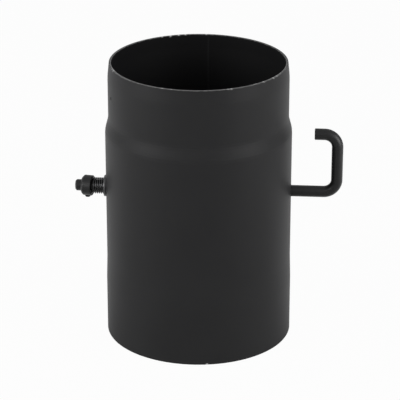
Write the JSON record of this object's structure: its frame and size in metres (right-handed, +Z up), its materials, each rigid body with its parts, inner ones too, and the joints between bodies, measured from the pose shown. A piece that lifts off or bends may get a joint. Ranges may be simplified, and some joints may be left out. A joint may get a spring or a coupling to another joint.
{
  "type": "stove pipe damper",
  "caption": "Short flue pipe section with a turning flap on a bent-bar spindle, held by a spring and set collar; socket end below, swaged spigot above.",
  "frame": {"origin": "on the pipe's axis, in the plane of its bottom rim, which is the mouth of the socket", "axes": "+Z up the pipe's axis towards the spigot, +X along the spindle towards the handle"},
  "size_m": [0.2352, 0.164, 0.25],
  "materials": {
    "stove_paint": "matt heat-resistant black paint",
    "blackened_bar": "thin black paint on drawn bar",
    "plated_fasteners": "dull zinc plate",
    "dull_washers": "dull dark steel",
    "spring_steel": "oiled dark spring wire",
    "black_oxide": "black oxide"
  },
  "bodies": {
    "pipe": {"pipe_body": "stove_paint", "outer_washer": "dull_washers", "inner_washer": "dull_washers"},
    "spindle": {"spindle_handle": "blackened_bar", "damper_flap": "stove_paint", "flap_bolts": "plated_fasteners", "flap_lock_washers": "plated_fasteners", "flap_nuts": "plated_fasteners", "friction_spring": "spring_steel", "set_collar": "blackened_bar", "set_screw": "black_oxide", "stop_pin": "spring_steel"}
  },
  "joints": [
    {"name": "spindle_turn", "type": "hinge", "parent": "pipe", "child": "spindle", "pos_m": [0, 0, 0.1325], "axis": [1, 0, 0], "continuous": true}
  ]
}
